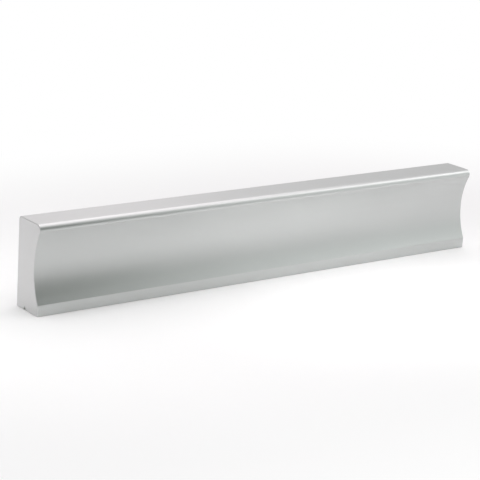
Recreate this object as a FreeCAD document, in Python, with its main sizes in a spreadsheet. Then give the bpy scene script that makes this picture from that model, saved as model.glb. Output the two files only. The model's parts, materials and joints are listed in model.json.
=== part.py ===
import FreeCAD, Part
import math
import os

import Sketcher
from FreeCAD import Vector

# A bar pull for a drawer or cabinet door: one length of extruded aluminium, cut square at both ends.
# X runs along the bar, the hollow for the fingertips faces -Y, and the base stands on the XY plane.
# The origin is on the base, midway between the two screw holes, on the line that marks them.
doc = FreeCAD.newDocument("FingerPull")

# Driving sizes, in millimetres and degrees
sizes = doc.addObject("Spreadsheet::Sheet", "Sizes")
driving = [
    ("hole_spacing", 128, "between the two screw holes"),
    ("end_margin", 10, "from a screw hole to the nearer end of the bar"),
    ("bar_height", 24, "from the base to the top, which is how far the pull stands out"),
    ("waist", 7.9, "thickness where the hollow is deepest"),
    ("grip_depth", 2.4, "depth of the hollow behind the front plane"),
    ("lip_height", 3, "flat at the foot of the front, up to the hollow"),
    ("nose_radius", 1.4, "round edge over the hollow, which the fingers hook behind"),
    ("back_radius", 0.8, "edge between the top and the back"),
    ("edge_radius", 0.25, "the other long edges, as the die leaves them"),
    ("edge_break", 0.15, "chamfer left by deburring the two cut ends"),
    ("groove_depth", 1, "V groove that marks the line of the screw holes on the base"),
    ("groove_angle", 60, "between the groove's flanks"),
    ("tap_drill", 3.3, "hole for an M4 thread"),
    ("hole_depth", 12, "full diameter of a screw hole, measured from the base"),
    ("drill_angle", 118, "point of the drill at the end of a hole"),
    ("mouth_chamfer", 0.4, "width of the chamfer at the mouth of a hole"),
    ("mouth_angle", 90, "between the sides of that chamfer"),
]
for row, (alias, value, meaning) in enumerate(driving, start=1):
    sizes.set(f"A{row}", alias)
    sizes.set(f"B{row}", str(value))
    sizes.set(f"C{row}", meaning)
    sizes.setAlias(f"B{row}", alias)
doc.recompute()


def origin_plane(body, role):
    return next(feature for feature in body.Origin.OriginFeatures if feature.Role == role)


def new_sketch(body, name, role):
    sketch = body.newObject("Sketcher::SketchObject", name)
    sketch.AttachmentSupport = [(origin_plane(body, role), "")]
    sketch.MapMode = "FlatFace"
    return sketch


def dimension(sketch, name, alias, kind, *elements, share=1):
    """Adds a sketch dimension under its own name, tied to a size on the sheet or to a share of it."""
    size = share * sizes.get(alias)
    start = math.radians(size) if kind == "Angle" else size
    sketch.renameConstraint(sketch.addConstraint(Sketcher.Constraint(kind, *elements, start)), name)
    sketch.setExpression(f"Constraints.{name}", f"{share} * Sizes.{alias}")


def arc(across, up, radius, start, end):
    circle = Part.Circle(Vector(across, up, 0), Vector(0, 0, 1), radius)
    return Part.ArcOfCircle(circle, math.radians(start), math.radians(end))


def line(a, b):
    return Part.LineSegment(Vector(*a, 0), Vector(*b, 0))


# How a constraint names the points of an element, the sketch's two axes and its origin
START, END, CENTRE = 1, 2, 3
ACROSS, UPWARD = -1, -2
ORIGIN = (-1, START)

bar = doc.addObject("PartDesign::Body", "PullBar")
bar.Label = "pull_bar"
bar.Placement = FreeCAD.Placement()

# The section that the die gives the bar, drawn across (Y) and up (Z) from the groove.
# The outline below starts near its final place, and the constraints then settle it.
section = new_sketch(bar, "Section", "YZ_Plane")
height = sizes.bar_height
back = sizes.waist / 2
front = back - sizes.waist - sizes.grip_depth
edge = sizes.edge_radius
corner = sizes.back_radius
nose_radius = sizes.nose_radius
groove_half = sizes.groove_depth * math.tan(math.radians(sizes.groove_angle / 2))
first_lean = 25  # degrees from upright at the hollow's two ends, before the constraints settle it

groove_back = section.addGeometry(line((0, sizes.groove_depth), (groove_half, 0)))
base_back = section.addGeometry(line((groove_half, 0), (back - edge, 0)))
base_back_edge = section.addGeometry(arc(back - edge, edge, edge, 270, 360))
back_face = section.addGeometry(line((back, edge), (back, height - corner)))
top_back_edge = section.addGeometry(arc(back - corner, height - corner, corner, 0, 90))
top = section.addGeometry(line((back - corner, height), (front + nose_radius, height)))
nose_arc = arc(front + nose_radius, height - nose_radius, nose_radius, 90, 180 + first_lean)
nose = section.addGeometry(nose_arc)
grip_foot = Vector(front, sizes.lip_height, 0)
grip_middle = Vector(front + sizes.grip_depth, (sizes.lip_height + height) / 2, 0)
grip_head = Vector(front, height - nose_radius, 0)
grip = section.addGeometry(Part.Arc(grip_foot, grip_middle, grip_head))
lip_edge = section.addGeometry(arc(front + edge, sizes.lip_height, edge, 180 - first_lean, 180))
lip = section.addGeometry(line((front, sizes.lip_height), (front, edge)))
base_front_edge = section.addGeometry(arc(front + edge, edge, edge, 180, 270))
base_front = section.addGeometry(line((front + edge, 0), (-groove_half, 0)))
groove_front = section.addGeometry(line((-groove_half, 0), (0, sizes.groove_depth)))

# Two helpers that leave no surface: the line that the hollow's floor touches, and the sharp corner of
# the lip before its edge is rounded
waist_line = section.addGeometry(line((-back, 0), (-back, height)), True)
lip_corner = section.addGeometry(Part.Point(grip_foot), True)

# The rounded edges run smoothly into their neighbours, and the hollow into the nose
smooth_joints = [
    (base_back, END, base_back_edge, START),
    (base_back_edge, END, back_face, START),
    (back_face, END, top_back_edge, START),
    (top_back_edge, END, top, START),
    (top, END, nose, START),
    (nose, END, grip, END),
    (grip, START, lip_edge, START),
    (lip_edge, END, lip, START),
    (lip, END, base_front_edge, START),
    (base_front_edge, END, base_front, START),
]
for joint in smooth_joints:
    section.addConstraint(Sketcher.Constraint("Tangent", *joint))

# The groove's three corners are sharp
sharp_joints = [
    (base_front, END, groove_front, START),
    (groove_front, END, groove_back, START),
    (groove_back, END, base_back, START),
]
for joint in sharp_joints:
    section.addConstraint(Sketcher.Constraint("Coincident", *joint))

for level in (base_back, base_front, top):
    section.addConstraint(Sketcher.Constraint("Horizontal", level))
for upright in (back_face, lip, waist_line):
    section.addConstraint(Sketcher.Constraint("Vertical", upright))
section.addConstraint(Sketcher.Constraint("PointOnObject", base_back, START, ACROSS))
section.addConstraint(Sketcher.Constraint("PointOnObject", base_front, END, ACROSS))
section.addConstraint(Sketcher.Constraint("PointOnObject", groove_back, START, UPWARD))
section.addConstraint(Sketcher.Constraint("Equal", groove_front, groove_back))
section.addConstraint(Sketcher.Constraint("PointOnObject", waist_line, START, ACROSS))
section.addConstraint(Sketcher.Constraint("PointOnObject", waist_line, END, top))
section.addConstraint(Sketcher.Constraint("Tangent", waist_line, grip))
section.addConstraint(Sketcher.Constraint("PointOnObject", lip_corner, START, lip))
section.addConstraint(Sketcher.Constraint("PointOnObject", lip_corner, START, grip))

# The screws run up the middle of the waist, so the groove lies half a waist from the back
dimension(section, "groove_to_back", "waist", "DistanceX", *ORIGIN, back_face, START, share=0.5)
dimension(section, "height", "bar_height", "DistanceY", *ORIGIN, top, START)
dimension(section, "waist", "waist", "DistanceX", waist_line, START, back_face, START)
dimension(section, "grip_depth", "grip_depth", "DistanceX", lip, START, waist_line, START)
dimension(section, "lip_height", "lip_height", "DistanceY", *ORIGIN, lip_corner, START)
dimension(section, "nose_radius", "nose_radius", "Radius", nose)
dimension(section, "nose_flush_with_lip", "nose_radius", "DistanceX", lip, START, nose, CENTRE)
dimension(section, "back_radius", "back_radius", "Radius", top_back_edge)
dimension(section, "base_back_radius", "edge_radius", "Radius", base_back_edge)
dimension(section, "base_front_radius", "edge_radius", "Radius", base_front_edge)
dimension(section, "lip_radius", "edge_radius", "Radius", lip_edge)
dimension(section, "groove_depth", "groove_depth", "DistanceY", *ORIGIN, groove_back, START)
dimension(section, "groove_angle", "groove_angle", "Angle", groove_front, END, groove_back, START)
doc.recompute()

# The cut length, centred between the screw holes
extrusion = bar.newObject("PartDesign::Pad", "Extrusion")
extrusion.Profile = section
extrusion.SideType = "Symmetric"
extrusion.setExpression("Length", "Sizes.hole_spacing + 2 * Sizes.end_margin")
doc.recompute()

# Two blind holes on the groove, tapped for the screws that come through the drawer front
hole_centres = new_sketch(bar, "HoleCentres", "XY_Plane")
half_spacing = sizes.hole_spacing / 2
drill_radius = sizes.tap_drill / 2
left_hole, right_hole = [
    hole_centres.addGeometry(Part.Circle(Vector(along, 0, 0), Vector(0, 0, 1), drill_radius))
    for along in (-half_spacing, half_spacing)
]
hole_centres.addConstraint(Sketcher.Constraint("Equal", left_hole, right_hole))
pair = (left_hole, CENTRE, right_hole, CENTRE)
hole_centres.addConstraint(Sketcher.Constraint("Symmetric", *pair, *ORIGIN))
hole_centres.addConstraint(Sketcher.Constraint("PointOnObject", left_hole, CENTRE, ACROSS))
dimension(hole_centres, "spacing", "hole_spacing", "DistanceX", *pair)
dimension(hole_centres, "radius", "tap_drill", "Radius", left_hole, share=0.5)
doc.recompute()

holes = bar.newObject("PartDesign::Hole", "ScrewHoles")
holes.Profile = hole_centres
doc.recompute()
holes.Reversed = True
holes.DepthType = "Dimension"
holes.DrillPoint = "Angled"
holes.HoleCutType = "Countersink"
holes.HoleCutCustomValues = True
holes.setExpression("Diameter", "Sizes.tap_drill")
holes.setExpression("Depth", "Sizes.hole_depth")
holes.setExpression("DrillPointAngle", "Sizes.drill_angle")
holes.setExpression("HoleCutDiameter", "Sizes.tap_drill + 2 * Sizes.mouth_chamfer")
holes.setExpression("HoleCutCountersinkAngle", "Sizes.mouth_angle")
doc.recompute()

# Both saw cuts are deburred all round
same_plane = 1e-6
half_length = extrusion.Length.Value / 2
cut_ends = [
    f"Face{number}"
    for number, face in enumerate(holes.Shape.Faces, start=1)
    if abs(abs(face.CenterOfMass.x) - half_length) < same_plane
]
deburring = bar.newObject("PartDesign::Chamfer", "Deburring")
deburring.Base = (holes, cut_ends)
deburring.setExpression("Size", "Sizes.edge_break")
bar.Tip = deburring
doc.recompute()

for item in doc.Objects:
    if "Invalid" in item.State or "Error" in item.State:
        raise RuntimeError(f"{item.Name} failed: {item.State}")
if section.solve() != 0 or not section.FullyConstrained:
    raise RuntimeError("the section is not settled by its dimensions")
if holes.Shape.Volume >= extrusion.Shape.Volume:
    raise RuntimeError("the screw holes cut nothing")
if bar.Shape.isNull() or not bar.Shape.isValid() or len(bar.Shape.Solids) != 1:
    raise RuntimeError("the bar is not one sound solid")

os.makedirs("parts", exist_ok=True)
bar.Shape.exportStep(f"parts/{bar.Label}.step")
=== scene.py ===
import json
import math

import bmesh
import bpy
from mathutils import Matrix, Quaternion, Vector


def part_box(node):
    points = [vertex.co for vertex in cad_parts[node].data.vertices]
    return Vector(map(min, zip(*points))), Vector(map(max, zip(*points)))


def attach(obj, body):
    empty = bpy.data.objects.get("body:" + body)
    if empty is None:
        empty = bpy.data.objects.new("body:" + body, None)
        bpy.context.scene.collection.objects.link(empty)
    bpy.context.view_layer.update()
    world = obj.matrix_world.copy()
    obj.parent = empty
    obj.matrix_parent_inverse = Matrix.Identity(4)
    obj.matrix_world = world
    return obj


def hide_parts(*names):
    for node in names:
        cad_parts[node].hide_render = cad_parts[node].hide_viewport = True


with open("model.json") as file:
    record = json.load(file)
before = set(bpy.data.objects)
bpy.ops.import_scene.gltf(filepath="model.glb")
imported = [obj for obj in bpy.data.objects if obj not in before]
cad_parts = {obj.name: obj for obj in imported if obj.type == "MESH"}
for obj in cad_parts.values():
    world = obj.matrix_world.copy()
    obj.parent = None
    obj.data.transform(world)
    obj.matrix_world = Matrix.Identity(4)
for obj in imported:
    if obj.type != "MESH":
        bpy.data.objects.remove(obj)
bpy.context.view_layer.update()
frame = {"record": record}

scene = bpy.context.scene

# Pull bar
# One length of aluminium alloy, pushed through a die that gives it the hollow front, the round nose and the
# groove under its base, then sawn square at both ends, deburred, drilled, tapped and anodised silver.
MM = 0.001
low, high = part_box("pull_bar")
front, back, top = low.y, high.y, high.z
waist = 7.9 * MM
lip_height = 3 * MM
nose_radius = 1.4 * MM
back_radius = 0.8 * MM
edge_radius = 0.25 * MM
edge_break = 0.15 * MM
groove_depth = 1 * MM
groove_angle = 60  # degrees
groove_half = groove_depth * math.tan(math.radians(groove_angle / 2))


def arc(centre, radius, start, end, steps):
    """Points along an arc, each across (Y) and up (Z), between two angles in degrees."""
    turns = [math.radians(start + (end - start) * step / steps) for step in range(steps + 1)]
    return [centre + radius * Vector((math.cos(turn), math.sin(turn))) for turn in turns]


def bearing(start, end):
    """Angle in degrees of the line between two points of the section."""
    return math.degrees(math.atan2(end.y - start.y, end.x - start.x))


# The hollow is one arc that starts at the lip, touches the waist and runs smoothly into the nose
grip_depth = back - waist - front
nose_centre = Vector((front + nose_radius, top - nose_radius))
reach = nose_centre.y - lip_height
grip_centre = Vector((0, lip_height + (reach - 2 * grip_depth * nose_radius / reach) / 2))
grip_radius = ((grip_centre.y - lip_height) ** 2 + grip_depth ** 2) / (2 * grip_depth)
grip_centre.x = back - waist - grip_radius
lip_edge_across = front + edge_radius
lip_edge_drop = math.sqrt((grip_radius + edge_radius) ** 2 - (lip_edge_across - grip_centre.x) ** 2)
lip_edge_centre = Vector((lip_edge_across, grip_centre.y - lip_edge_drop))
nose_end = bearing(nose_centre, grip_centre) % 360
grip_end = bearing(grip_centre, lip_edge_centre)

outline = [Vector((0, groove_depth)), Vector((groove_half, 0))]
outline += arc(Vector((back - edge_radius, edge_radius)), edge_radius, 270, 360, steps=8)
outline += arc(Vector((back - back_radius, top - back_radius)), back_radius, 0, 90, steps=16)
outline += arc(nose_centre, nose_radius, 90, nose_end, steps=30)
outline += arc(grip_centre, grip_radius, nose_end - 180, grip_end, steps=72)[1:]
outline += arc(lip_edge_centre, edge_radius, grip_end + 180, 180, steps=4)[1:]
outline += arc(Vector((front + edge_radius, edge_radius)), edge_radius, 180, 270, steps=8)
outline += [Vector((-groove_half, 0))]


def drawn_in(points, depth):
    """The closed outline with every side moved inwards by the same depth."""
    moved = []
    for before, point, after in zip(points[-1:] + points, points, points[1:] + points[:1]):
        sides = [(point - before).normalized(), (after - point).normalized()]
        outward = [Vector((side.y, -side.x)) for side in sides]
        moved.append(point - (outward[0] + outward[1]) * depth / (1 + outward[0].dot(outward[1])))
    return moved


def add_mesh(name, mesh):
    piece = bpy.data.objects.new(name, bpy.data.meshes.new(name))
    mesh.to_mesh(piece.data)
    mesh.free()
    scene.collection.objects.link(piece)
    return piece


SKIN, CUT_END = 0, 1
shell = bmesh.new()
rings = []
for along, depth in (
    (low.x, edge_break), (low.x + edge_break, 0), (high.x - edge_break, 0), (high.x, edge_break)
):
    rings.append([shell.verts.new((along, *point)) for point in drawn_in(outline, depth)])
for part, (near, far) in zip((CUT_END, SKIN, CUT_END), zip(rings, rings[1:])):
    for k in range(len(outline)):
        shell.faces.new((near[k - 1], near[k], far[k], far[k - 1])).material_index = part
for cap in (rings[0][::-1], rings[-1]):
    shell.faces.new(cap).material_index = CUT_END
bar = add_mesh("anodised_pull_bar", shell)

# Two blind holes on the groove, drilled 3.3 mm with a chamfered mouth and tapped M4 for the screws
screw_holes = next(mount for mount in frame["record"]["mounts"] if mount["name"] == "screw_holes")
hole_spacing = screw_holes["dims"]["spacing_x_mm"] * MM
drill_radius = screw_holes["dims"]["hole_r_mm"] * MM
mouth_depth = 0.4 * MM
hole_depth = 12 * MM
drill_angle = 118  # degrees
point_depth = drill_radius / math.tan(math.radians(drill_angle / 2))
thread_radius = 2 * MM
thread_pitch = 0.7 * MM
thread_angle = 60  # degrees
thread_depth = 9.5 * MM
thread_fade = 1.5 * thread_pitch  # the tap's tapered tip leaves the last turns shallow
flank = (thread_radius - drill_radius) * math.tan(math.radians(thread_angle / 2)) / thread_pitch
thread_flat = 1 / 8  # share of the pitch that is flat at the foot of the thread
thread_corners = [
    (0, thread_radius), (thread_flat, thread_radius),
    (thread_flat + flank, drill_radius), (1 - flank, drill_radius),
]  # one turn of the thread: share of the pitch, and radius there
clear = 1 * MM  # how far the cutter starts outside the bar
COLUMNS = 64  # steps round a hole
same_point = 0.0001 * MM  # points nearer to each other than this are one


def hole_point(radius, column, height):
    angle = 2 * math.pi * column / COLUMNS
    return Vector((radius * math.cos(angle), radius * math.sin(angle), height))


def thread_point(row, column):
    """A point of the threaded wall, row by row along the thread and column by column round the hole."""
    turn, corner = divmod(row, len(thread_corners))
    share, radius = thread_corners[corner]
    height = min(max(thread_pitch * (turn - 1 + share + column / COLUMNS), 0), thread_depth)
    depth = (radius - drill_radius) * min(1, (thread_depth - height) / thread_fade)
    return hole_point(drill_radius + max(depth, mouth_depth - height), column, height)


thread_rows = len(thread_corners) * (math.ceil(thread_depth / thread_pitch) + 2)
full_turn = range(COLUMNS + 1)
wall = [[hole_point(0, k, -clear) for k in full_turn]]
wall += [[hole_point(drill_radius + mouth_depth + clear, k, -clear) for k in full_turn]]
wall += [[thread_point(row, k) for k in full_turn] for row in range(thread_rows)]
wall += [[hole_point(drill_radius, k, hole_depth) for k in full_turn]]
wall += [[hole_point(0, k, hole_depth + point_depth) for k in full_turn]]
tap_mesh = bmesh.new()
for side in (-1, 1):
    shift = Vector((side * hole_spacing / 2, 0, 0))
    rows = [[tap_mesh.verts.new(point + shift) for point in row] for row in wall]
    for lower, upper in zip(rows, rows[1:]):
        for k in range(COLUMNS):
            tap_mesh.faces.new((lower[k], lower[k + 1], upper[k + 1], upper[k]))
bmesh.ops.remove_doubles(tap_mesh, verts=tap_mesh.verts, dist=same_point)
bmesh.ops.recalc_face_normals(tap_mesh, faces=tap_mesh.faces)
tap = add_mesh("drill_and_tap", tap_mesh)


# The finish: anodised aluminium
# Extrusion leaves faint lengthwise die lines, the etch before anodising turns them satin, and the clear oxide
# keeps the metal's pale grey. The eye sees soft reflections, a little streaked along the bar, and no sparkle.
def linear(colour):
    """An sRGB hex colour as the linear RGBA that a socket takes."""
    parts = [int(colour[k : k + 2], 16) / 255 for k in (1, 3, 5)]
    return [c / 12.92 if c <= 0.04045 else ((c + 0.055) / 1.055) ** 2.4 for c in parts] + [1]


def add_node(tree, kind, inputs, **settings):
    """Adds a node. An input takes either a value or the output socket that feeds it."""
    node = tree.nodes.new(kind)
    for name, value in settings.items():
        setattr(node, name, value)
    for name, value in inputs.items():
        if isinstance(value, bpy.types.NodeSocket):
            tree.links.new(value, node.inputs[name])
        else:
            node.inputs[name].default_value = value
    return node


def add_material(name):
    """A new material with its shader, and the place on the bar in metres, which the patterns start from."""
    material = bpy.data.materials.new(name)
    material.use_nodes = True
    tree = material.node_tree
    place = add_node(tree, "ShaderNodeTexCoord", {}).outputs["Object"]
    return material, tree, tree.nodes["Principled BSDF"], place


anodised, tree, shader, place = add_material("satin_anodised_aluminium")
die_line = 0.4 * MM  # spacing of the die lines; real ones are finer and wouldn't show
die_run = 90 * MM  # how far a line runs before it fades
die_height = 0.004 * MM
grain = 0.25 * MM  # etched grain, also drawn coarser than it is
grain_height = 0.0015 * MM
cloud = 30 * MM  # slow drift of the oxide's tone
stretched = add_node(tree, "ShaderNodeMapping", {
    "Vector": place, "Scale": (1 / die_run, 1 / die_line, 1 / die_line)
}).outputs["Vector"]
lines = add_node(tree, "ShaderNodeTexNoise", {"Vector": stretched, "Scale": 1, "Detail": 2}).outputs["Fac"]
etch = add_node(tree, "ShaderNodeTexNoise", {"Vector": place, "Scale": 1 / grain, "Detail": 3}).outputs["Fac"]
drift = add_node(tree, "ShaderNodeTexNoise", {"Vector": place, "Scale": 1 / cloud, "Detail": 1})
tone = add_node(tree, "ShaderNodeValToRGB", {"Fac": drift.outputs["Fac"]})
tone.color_ramp.elements[0].color = linear("#C8CAC9")
tone.color_ramp.elements[1].color = linear("#CCCECD")
satin = add_node(tree, "ShaderNodeMapRange", {"Value": lines, "To Min": 0.38, "To Max": 0.46})
line_relief = add_node(tree, "ShaderNodeBump", {"Height": lines, "Strength": 1, "Distance": die_height})
relief = add_node(tree, "ShaderNodeBump", {
    "Height": etch, "Strength": 1, "Distance": grain_height, "Normal": line_relief.outputs["Normal"]
})
shader.inputs["Metallic"].default_value = 1
tree.links.new(tone.outputs["Color"], shader.inputs["Base Color"])
tree.links.new(satin.outputs["Result"], shader.inputs["Roughness"])
tree.links.new(relief.outputs["Normal"], shader.inputs["Normal"])

# The cut ends: sawn aluminium, anodised after the cut
# The saw leaves fine arcs that the etch softens, so an end looks matter. Its colour is set a little paler
# than the skin: partly the matter sawn surface, partly painted light that stands in for the light falling on
# the end.
sawn, tree, shader, place = add_material("sawn_anodised_aluminium")
saw_centre = Vector((0, -50, 112.5)) * MM  # the blade's middle, in front of the bar and above it
saw_mark = 0.35 * MM  # from one arc to the next, coarser than the real ones
saw_height = 0.006 * MM
cut_grain_height = 0.003 * MM
from_saw = add_node(tree, "ShaderNodeMapping", {"Vector": place, "Location": -saw_centre}).outputs["Vector"]
WAVE_UNIT = 2 * math.pi / 20  # length of one ring of the wave texture at scale 1
arcs = add_node(tree, "ShaderNodeTexWave", {
    "Vector": from_saw, "Scale": WAVE_UNIT / saw_mark, "Distortion": 1.5, "Detail": 2, "Detail Scale": 0.3
}, wave_type="RINGS", rings_direction="X").outputs["Fac"]
etch = add_node(tree, "ShaderNodeTexNoise", {"Vector": place, "Scale": 1 / grain, "Detail": 3}).outputs["Fac"]
arc_relief = add_node(tree, "ShaderNodeBump", {"Height": arcs, "Strength": 1, "Distance": saw_height})
relief = add_node(tree, "ShaderNodeBump", {
    "Height": etch, "Strength": 1, "Distance": cut_grain_height, "Normal": arc_relief.outputs["Normal"]
})
satin = add_node(tree, "ShaderNodeMapRange", {"Value": arcs, "To Min": 0.42, "To Max": 0.5})
# Partly painted light: this paler grey also stands in for the light that falls on the cut end
shader.inputs["Base Color"].default_value = linear("#D2D2D2")
shader.inputs["Metallic"].default_value = 1
tree.links.new(satin.outputs["Result"], shader.inputs["Roughness"])
tree.links.new(relief.outputs["Normal"], shader.inputs["Normal"])

# The threads: tapped aluminium
# The tap leaves a brighter, finely ridged surface that sits deep in its own shade.
tapped, tree, shader, place = add_material("tapped_aluminium")
chatter = 0.12 * MM  # spacing of the tap's marks up the hole
chatter_run = 10 * chatter  # how far a mark runs round it
chatter_height = 0.002 * MM
upward = add_node(tree, "ShaderNodeMapping", {
    "Vector": place, "Scale": (1 / chatter_run, 1 / chatter_run, 1 / chatter)
}).outputs["Vector"]
marks = add_node(tree, "ShaderNodeTexNoise", {"Vector": upward, "Scale": 1, "Detail": 2}).outputs["Fac"]
relief = add_node(tree, "ShaderNodeBump", {"Height": marks, "Strength": 1, "Distance": chatter_height})
satin = add_node(tree, "ShaderNodeMapRange", {"Value": marks, "To Min": 0.2, "To Max": 0.34})
shader.inputs["Base Color"].default_value = linear("#C6C8C8")
shader.inputs["Metallic"].default_value = 1
tree.links.new(satin.outputs["Result"], shader.inputs["Roughness"])
tree.links.new(relief.outputs["Normal"], shader.inputs["Normal"])

# The holes are cut, and edges that turn by more than the limit stay crisp
smooth_limit = 24  # degrees
bar.data.materials.append(anodised)
bar.data.materials.append(sawn)
tap.data.materials.append(tapped)
tapping = bar.modifiers.new("tapping", "BOOLEAN")
tapping.operation, tapping.solver, tapping.material_mode = "DIFFERENCE", "EXACT", "TRANSFER"
tapping.object = tap
finished = bpy.data.meshes.new_from_object(bar.evaluated_get(bpy.context.evaluated_depsgraph_get()))
bar.modifiers.clear()
bar.data = finished
bpy.data.objects.remove(tap)
tidied = bmesh.new()
tidied.from_mesh(finished)
bmesh.ops.dissolve_degenerate(tidied, edges=tidied.edges, dist=same_point)
tidied.to_mesh(finished)
tidied.free()
finished.shade_smooth()
finished.set_sharp_from_angle(angle=math.radians(smooth_limit))
even = bar.modifiers.new("even_shading", "WEIGHTED_NORMAL")
even.keep_sharp = True
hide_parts("pull_bar")
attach(bar, "root")

# Floor
# A matt white board that the bar stands on. Near the bar it takes the light and the bar's shadow. Further out
# it runs into plain white, as a sweep of paper does, both for the eye and in the metal.
board_half = 4000 * MM  # half of its side
sweep_start, sweep_end = 45 * MM, 145 * MM  # distances from the bar between which the board turns white
floor_mesh = bmesh.new()
bmesh.ops.create_grid(floor_mesh, x_segments=1, y_segments=1, size=board_half)
floor = add_mesh("floor", floor_mesh)
floor.location.z = low.z
board, tree, shader, place = add_material("matt_white_board")
shader.inputs["Base Color"].default_value = linear("#F8F8F8")
shader.inputs["Roughness"].default_value = 0.9
shader.inputs["Specular IOR Level"].default_value = 0
middle, half_size = (low + high) / 2, (high - low) / 2
offset = add_node(tree, "ShaderNodeVectorMath", {0: place, 1: middle}, operation="SUBTRACT")
aside = add_node(tree, "ShaderNodeVectorMath", {0: offset.outputs[0]}, operation="ABSOLUTE")
beyond = add_node(tree, "ShaderNodeVectorMath", {0: aside.outputs[0], 1: half_size}, operation="SUBTRACT")
outside = add_node(tree, "ShaderNodeVectorMath", {0: beyond.outputs[0], 1: (0, 0, 0)}, operation="MAXIMUM")
distance = add_node(tree, "ShaderNodeVectorMath", {0: outside.outputs[0]}, operation="LENGTH")
fade = add_node(tree, "ShaderNodeMapRange", {
    "Value": distance.outputs["Value"], "From Min": sweep_start, "From Max": sweep_end
}, interpolation_type="SMOOTHSTEP").outputs["Result"]
ray = add_node(tree, "ShaderNodeLightPath", {}).outputs
seen = add_node(tree, "ShaderNodeMath", {0: ray["Is Camera Ray"], 1: ray["Is Glossy Ray"]}, operation="ADD")
seen = add_node(tree, "ShaderNodeMath", {0: seen.outputs[0], 1: ray["Is Transmission Ray"]}, operation="ADD")
share = add_node(tree, "ShaderNodeMath", {0: seen.outputs[0], 1: fade}, operation="MULTIPLY").outputs["Value"]
white = add_node(tree, "ShaderNodeEmission", {"Color": linear("#FFFFFF"), "Strength": 1}).outputs["Emission"]
swept = add_node(tree, "ShaderNodeMixShader", {0: share, 1: shader.outputs["BSDF"], 2: white})
tree.links.new(swept.outputs["Shader"], tree.nodes["Material Output"].inputs["Surface"])
floor.data.materials.append(board)

# Dark card
# A felt flag in front of the left half, seen only in the metal: it puts the shade in the foot of the hollow.
card_left, card_right = -160 * MM, 50 * MM
card_low, card_high = 7 * MM, 155 * MM
card_away = -150 * MM
card_mesh = bmesh.new()
corners = [(card_left, card_low), (card_right, card_low), (card_right, card_high), (card_left, card_high)]
card_mesh.faces.new([card_mesh.verts.new((along, card_away, height)) for along, height in corners])
card = add_mesh("dark_card", card_mesh)
felt, tree, shader, place = add_material("dark_felt")
shader.inputs["Base Color"].default_value = linear("#334333")
shader.inputs["Roughness"].default_value = 1
shader.inputs["Specular IOR Level"].default_value = 0
card.data.materials.append(felt)
card.visible_camera = card.visible_diffuse = card.visible_shadow = False

# Studio light
# A pale room, white at the horizon where it meets the board, and nine soft boxes. The last three are narrow
# and light only the board near the bar: the metal shows their light there, and not the boxes themselves.
horizon_start, horizon_end = 0.01, 0.105  # sines of the angles over which the white turns grey
world = bpy.data.worlds.new("pale_room")
world.use_nodes = True
tree = world.node_tree
looking = add_node(tree, "ShaderNodeTexCoord", {}).outputs["Generated"]
rise = add_node(tree, "ShaderNodeSeparateXYZ", {"Vector": looking}).outputs["Z"]
above_horizon = add_node(tree, "ShaderNodeMapRange", {
    "Value": rise, "From Min": horizon_start, "From Max": horizon_end
}, interpolation_type="SMOOTHSTEP").outputs["Result"]
wall_tone = add_node(tree, "ShaderNodeValToRGB", {"Fac": above_horizon})
wall_tone.color_ramp.elements[0].color = linear("#FFFFFF")
wall_tone.color_ramp.elements[1].color = linear("#CBCBCB")
tree.links.new(wall_tone.outputs["Color"], tree.nodes["Background"].inputs["Color"])
scene.world = world

# Each box has its place, the point it faces, its width and depth, all in millimetres, how far its light
# spreads in degrees, its brightness, where white is 1, and its colour
OPEN = 180  # degrees, for a box whose light spreads to all sides
for name, stand, facing, width, depth, spread, level, colour in (
    ("soft_box_above", (223, 20, 502), (0, 0, 0), 420, 260, OPEN, 1.45, "#FFF8FB"),
    ("soft_box_behind_high", (216, 298, 409), (0, 0, 0), 260, 260, OPEN, 1.32, "#FFF7FB"),
    ("soft_box_behind_low", (174, 479, 206), (0, 0, 0), 260, 200, OPEN, 0.5, "#FFF2F7"),
    ("soft_box_behind_left", (-312, 372, 121), (0, 0, 0), 260, 200, OPEN, 0.16, "#FFFFFF"),
    ("soft_box_right", (407, -148, 339), (0, 0, 0), 260, 200, OPEN, 2.23, "#FFFEFE"),
    ("soft_box_right_low", (366, -366, 188), (0, 0, 0), 260, 200, OPEN, 0.44, "#EEFFF7"),
    ("soft_box_over_front_left", (-60, -100, 250), (-40, -60, 0), 80, 80, 60, 0.5, "#FFFFFF"),
    ("soft_box_over_front", (30, -60, 200), (30, -30, 0), 60, 60, 40, 0.71, "#FFFFFF"),
    ("soft_box_over_left", (-130, 20, 260), (-115, 20, 0), 80, 80, 60, 1.14, "#FFFFFF"),
):
    lamp = bpy.data.lights.new(name, "AREA")
    lamp.shape, lamp.size, lamp.size_y = "RECTANGLE", width * MM, depth * MM
    lamp.spread = math.radians(spread)
    lamp.energy = level * math.pi * lamp.size * lamp.size_y
    lamp.color = linear(colour)[:3]
    soft_box = bpy.data.objects.new(name, lamp)
    soft_box.location = Vector(stand) * MM
    soft_box.rotation_mode = "QUATERNION"
    soft_box.rotation_quaternion = (Vector(facing) - Vector(stand)).to_track_quat("-Z", "Y")
    soft_box.visible_camera = False
    soft_box.visible_glossy = spread == OPEN
    scene.collection.objects.link(soft_box)

# Camera
# The photograph's own place, solved from the bar's outline: low, to the left of the front, a little tilted.
eye = Vector((-281.02, -354.12, 139.50)) * MM
aim = Vector((-2.434, 4.992, 8.511)) * MM
roll = 3.792  # degrees
lens = bpy.data.cameras.new("camera")
lens.lens, lens.sensor_width = 126.78, 36
lens.clip_start, lens.clip_end = 0.01, 20
camera = bpy.data.objects.new("camera", lens)
camera.location = eye
camera.rotation_mode = "QUATERNION"
camera.rotation_quaternion = (
    (aim - eye).to_track_quat("-Z", "Y") @ Quaternion((0, 0, 1), math.radians(roll))
)
scene.collection.objects.link(camera)
scene.camera = camera
scene.view_settings.view_transform = "Standard"

bpy.context.view_layer.update()
